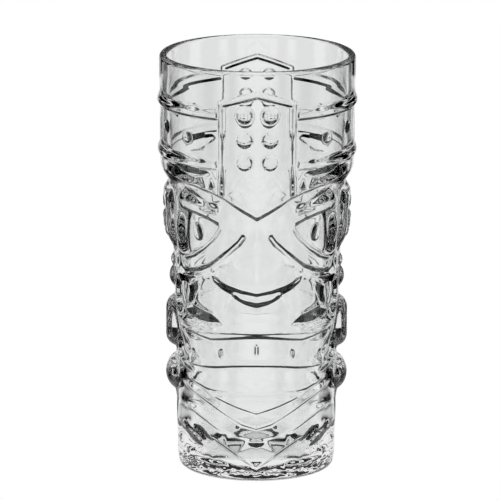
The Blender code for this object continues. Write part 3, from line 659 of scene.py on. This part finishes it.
def clear_glass():
    """Fire-polished soda-lime glass, with the faint ripple that a mould leaves."""
    material = bpy.data.materials.new("clear_pressed_glass")
    material.use_nodes = True
    nodes, links = material.node_tree.nodes, material.node_tree.links
    shader = nodes["Principled BSDF"]
    shader.inputs["Transmission Weight"].default_value = 1.0
    shader.inputs["IOR"].default_value = 1.52
    shader.inputs["Roughness"].default_value = 0.0
    place = nodes.new("ShaderNodeTexCoord")
    ripple = nodes.new("ShaderNodeTexNoise")
    ripple.inputs["Scale"].default_value = 90.0
    ripple.inputs["Detail"].default_value = 1.0
    bump_node = nodes.new("ShaderNodeBump")
    bump_node.inputs["Strength"].default_value = 0.12
    bump_node.inputs["Distance"].default_value = 0.0004
    tint = nodes.new("ShaderNodeTexNoise")
    tint.inputs["Scale"].default_value = 12.0
    ramp = nodes.new("ShaderNodeValToRGB")
    ramp.color_ramp.elements[0].color = (0.972, 0.978, 0.978, 1.0)
    ramp.color_ramp.elements[1].color = (0.990, 0.992, 0.992, 1.0)
    links.new(place.outputs["Object"], ripple.inputs["Vector"])
    links.new(place.outputs["Object"], tint.inputs["Vector"])
    links.new(ripple.outputs["Fac"], bump_node.inputs["Height"])
    links.new(bump_node.outputs["Normal"], shader.inputs["Normal"])
    links.new(tint.outputs["Fac"], ramp.inputs["Fac"])
    links.new(ramp.outputs["Color"], shader.inputs["Base Color"])
    return material


# ---------------------------------------------------------------- the light table, the room and the camera

# Lengths are in metres. A rise is the upward part of a direction, from -1 straight down to 1 straight up.
TABLE_RADIUS = 1.3
TABLE_GLOW, DARK = 0.86, 0.0
NEAR_RADIUS, NEAR_EDGE = 0.08, 0.03  # the table glows all round the glass out to here
CARDS = [(26.0, 39.0), (51.0, 80.0)]  # degrees from the line through the two faces, in each quarter
CARD_EDGE = 3.0  # degrees
HORIZON, HORIZON_EDGE = -0.02, 0.01  # below this rise the room glows as the table does
OVERHEAD_RISE, OVERHEAD_EDGE, OVERHEAD_GLOW = 0.89, 0.03, 1.2  # the light overhead begins at this rise
SIDE_LIGHT, SIDE_LIGHT_EDGE = 78.0, 1.8  # degrees at which the soft boxes at the two sides begin
SIDE_TOP, SIDE_TOP_EDGE, SIDE_GLOW = 0.7, 0.05, 0.9  # how high they reach, as a rise


def calculate(nodes, links, operation, *values):
    """A math node on sockets or numbers, and its result."""
    node = nodes.new("ShaderNodeMath")
    node.operation = operation
    for socket, value in zip(node.inputs, values):
        if isinstance(value, (int, float)):
            socket.default_value = value
        else:
            links.new(value, socket)
    return node.outputs["Value"]


def step(nodes, links, value, low, high, below, above):
    """A soft step from one level below low to another above high; low may be above high."""
    node = nodes.new("ShaderNodeMapRange")
    node.inputs["From Min"].default_value = low
    node.inputs["From Max"].default_value = high
    node.inputs["To Min"].default_value = below
    node.inputs["To Max"].default_value = above
    links.new(value, node.inputs["Value"])
    return node.outputs["Result"]


def share_of_quarter(nodes, links, east, north):
    """How far round a direction lies, from 0 on the line through the two faces to 1 at the sides."""
    east = calculate(nodes, links, "ABSOLUTE", east)
    north = calculate(nodes, links, "ABSOLUTE", north)
    angle = calculate(nodes, links, "ARCTAN2", east, north)
    return calculate(nodes, links, "DIVIDE", angle, math.pi / 2.0)


def between_cards(nodes, links, share):
    """1 where a black card does not stand in that direction, and 0 where one does."""
    ramp = nodes.new("ShaderNodeValToRGB")
    elements = ramp.color_ramp.elements
    elements[0].color = (1.0, 1.0, 1.0, 1.0)
    for first, last in CARDS:
        for degrees, outside, inside in ((first, -CARD_EDGE, CARD_EDGE), (last, CARD_EDGE, -CARD_EDGE)):
            elements.new((degrees + outside) / 90.0).color = (1.0, 1.0, 1.0, 1.0)
            elements.new((degrees + inside) / 90.0).color = (0.0, 0.0, 0.0, 1.0)
    links.new(share, ramp.inputs["Fac"])
    return ramp.outputs["Color"]


def white_to_camera(nodes, links, level):
    """The level for light that goes through the glass, and plain white for what the camera sees itself."""
    path = nodes.new("ShaderNodeLightPath")
    pick = nodes.new("ShaderNodeMix")
    pick.data_type = "FLOAT"
    links.new(path.outputs["Is Camera Ray"], pick.inputs[0])
    links.new(level, pick.inputs[2])
    pick.inputs[3].default_value = 1.0
    return pick.outputs[0]


def light_table():
    """The table top: plain white to the camera, and a glow with the black cards in it to the glass."""
    bpy.ops.mesh.primitive_circle_add(vertices=96, radius=TABLE_RADIUS, fill_type="NGON")
    table = bpy.context.object
    table.name = "light_table"
    material = bpy.data.materials.new("white_table")
    material.use_nodes = True
    nodes, links = material.node_tree.nodes, material.node_tree.links
    nodes.clear()
    place = nodes.new("ShaderNodeNewGeometry").outputs["Position"]
    split = nodes.new("ShaderNodeSeparateXYZ")
    links.new(place, split.inputs["Vector"])
    share = share_of_quarter(nodes, links, split.outputs["X"], split.outputs["Y"])
    lit = between_cards(nodes, links, share)
    far = step(nodes, links, lit, 0.0, 1.0, DARK, TABLE_GLOW)
    length = nodes.new("ShaderNodeVectorMath")
    length.operation = "LENGTH"
    links.new(place, length.inputs[0])
    inner, outer = NEAR_RADIUS - NEAR_EDGE, NEAR_RADIUS + NEAR_EDGE
    near = step(nodes, links, length.outputs["Value"], outer, inner, 0.0, TABLE_GLOW)
    glow = nodes.new("ShaderNodeEmission")
    level = calculate(nodes, links, "MAXIMUM", far, near)
    links.new(white_to_camera(nodes, links, level), glow.inputs["Strength"])
    output = nodes.new("ShaderNodeOutputMaterial")
    links.new(glow.outputs["Emission"], output.inputs["Surface"])
    table.data.materials.append(material)


def room():
    """A dark room with soft lights overhead and at the two sides; the camera itself sees plain white."""
    world = bpy.data.worlds.new("studio")
    bpy.context.scene.world = world
    world.use_nodes = True
    nodes, links = world.node_tree.nodes, world.node_tree.links
    nodes.clear()
    direction = nodes.new("ShaderNodeTexCoord").outputs["Generated"]
    split = nodes.new("ShaderNodeSeparateXYZ")
    links.new(direction, split.inputs["Vector"])
    share = share_of_quarter(nodes, links, split.outputs["X"], split.outputs["Y"])
    lit = between_cards(nodes, links, share)
    far = step(nodes, links, lit, 0.0, 1.0, DARK, TABLE_GLOW)
    rise = split.outputs["Z"]
    below = step(nodes, links, rise, HORIZON + HORIZON_EDGE, HORIZON - HORIZON_EDGE, 0.0, 1.0)
    under = calculate(nodes, links, "MULTIPLY", far, below)
    low, high = OVERHEAD_RISE - OVERHEAD_EDGE, OVERHEAD_RISE + OVERHEAD_EDGE
    overhead = step(nodes, links, rise, low, high, DARK, OVERHEAD_GLOW)
    start, full = (SIDE_LIGHT - SIDE_LIGHT_EDGE) / 90.0, (SIDE_LIGHT + SIDE_LIGHT_EDGE) / 90.0
    side = step(nodes, links, share, start, full, 0.0, SIDE_GLOW)
    reach = step(nodes, links, rise, SIDE_TOP + SIDE_TOP_EDGE, SIDE_TOP - SIDE_TOP_EDGE, 0.0, 1.0)
    side = calculate(nodes, links, "MULTIPLY", side, reach)
    above = calculate(nodes, links, "MAXIMUM", overhead, side)
    level = calculate(nodes, links, "MAXIMUM", under, above)
    background = nodes.new("ShaderNodeBackground")
    background.inputs["Color"].default_value = (1.0, 1.0, 1.0, 1.0)
    links.new(white_to_camera(nodes, links, level), background.inputs["Strength"])
    output = nodes.new("ShaderNodeOutputWorld")
    links.new(background.outputs["Background"], output.inputs["Surface"])


CAMERA_BACK, CAMERA_UP, CAMERA_LEFT = 1.921, 0.551, 0.0026  # metres from the middle of the foot
CAMERA_PITCH, CAMERA_ROLL = 13.68, 0.2  # degrees
CAMERA_LENS = 374.4


def camera():
    """A long lens in front of the face and above the rim, which looks down at the glass."""
    data = bpy.data.cameras.new("camera")
    data.lens = CAMERA_LENS
    data.sensor_width = 36.0
    data.clip_end = 20.0
    view = bpy.data.objects.new("camera", data)
    turn = Matrix.Rotation(math.radians(90.0 - CAMERA_PITCH), 4, "X")
    roll = Matrix.Rotation(math.radians(CAMERA_ROLL), 4, "Z")
    view.matrix_world = Matrix.Translation((-CAMERA_LEFT, -CAMERA_BACK, CAMERA_UP)) @ turn @ roll
    bpy.context.scene.collection.objects.link(view)
    bpy.context.scene.camera = view


def main():
    """Sets up the picture, and hangs the fine glass on the frame in the place of the plain one."""
    scene = bpy.context.scene
    scene.view_settings.view_transform = "Standard"
    scene.view_settings.gamma = 0.86
    scene.cycles.max_bounces = 12
    scene.cycles.transmission_bounces = 10
    scene.cycles.glossy_bounces = 8
    camera()
    light_table()
    room()
    glass = bpy.data.objects.new("tumbler_glass", glass_mesh())
    scene.collection.objects.link(glass)
    glass.data.materials.append(clear_glass())
    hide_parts(GLASS_NODE)
    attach(glass, "root")


main()
